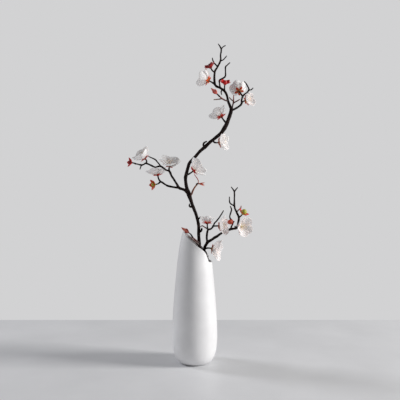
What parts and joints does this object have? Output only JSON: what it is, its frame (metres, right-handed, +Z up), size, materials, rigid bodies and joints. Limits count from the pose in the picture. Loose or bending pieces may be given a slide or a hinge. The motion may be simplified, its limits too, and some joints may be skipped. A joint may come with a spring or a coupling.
{
  "type": "plum blossom arrangement in vase",
  "caption": "Tall white vase with a slanted mouth, holding one dark, winding plum branch with white blossoms and small red buds.",
  "frame": {"origin": "middle of the vase's flat foot", "axes": "+Z up; +X to the right of the front view, towards the low side of the mouth; +Y to the back"},
  "size_m": [0.293, 0.1059, 0.7308],
  "materials": {
    "vase": "white satin glazed ceramic, opaque",
    "branch": "dark bark",
    "petals": "soft white petal",
    "sepals": "crimson sepal",
    "stamens": "cream filament"
  },
  "bodies": {
    "root": {"vase": "vase", "branch": "branch", "bloom_crown_left_petals": "petals", "bloom_crown_left_calyx": "sepals", "bloom_crown_left_stamens": "stamens", "bloom_crown_back_petals": "petals", "bloom_crown_back_calyx": "sepals", "bloom_crown_back_stamens": "stamens", "bloom_crown_right_petals": "petals", "bloom_crown_right_calyx": "sepals", "bloom_crown_right_stamens": "stamens", "bloom_upper_left_petals": "petals", "bloom_upper_left_calyx": "sepals", "bloom_upper_left_stamens": "stamens", "bloom_upper_right_petals": "petals", "bloom_upper_right_calyx": "sepals", "bloom_upper_right_stamens": "stamens", "bloom_middle_petals": "petals", "bloom_middle_calyx": "sepals", "bloom_middle_stamens": "stamens", "bloom_left_outer_petals": "petals", "bloom_left_outer_calyx": "sepals", "bloom_left_outer_stamens": "stamens", "bloom_left_inner_petals": "petals", "bloom_left_inner_calyx": "sepals", "bloom_left_inner_stamens": "stamens", "bloom_left_lower_petals": "petals", "bloom_left_lower_calyx": "sepals", "bloom_left_lower_stamens": "stamens", "bloom_right_inner_petals": "petals", "bloom_right_inner_calyx": "sepals", "bloom_right_inner_stamens": "stamens", "bloom_right_middle_petals": "petals", "bloom_right_middle_calyx": "sepals", "bloom_right_middle_stamens": "stamens", "bloom_right_outer_petals": "petals", "bloom_right_outer_calyx": "sepals", "bloom_right_outer_stamens": "stamens", "bloom_mouth_petals": "petals", "bloom_mouth_calyx": "sepals", "bloom_mouth_stamens": "stamens", "bud_crown_left": "sepals", "bud_crown_right": "sepals", "bud_crown_pink": "sepals", "bud_left_outer": "sepals", "bud_left_lower": "sepals", "bud_right_inner": "sepals", "bud_right_outer": "sepals", "bud_neck": "sepals", "bud_trunk": "sepals"}
  },
  "joints": []
}
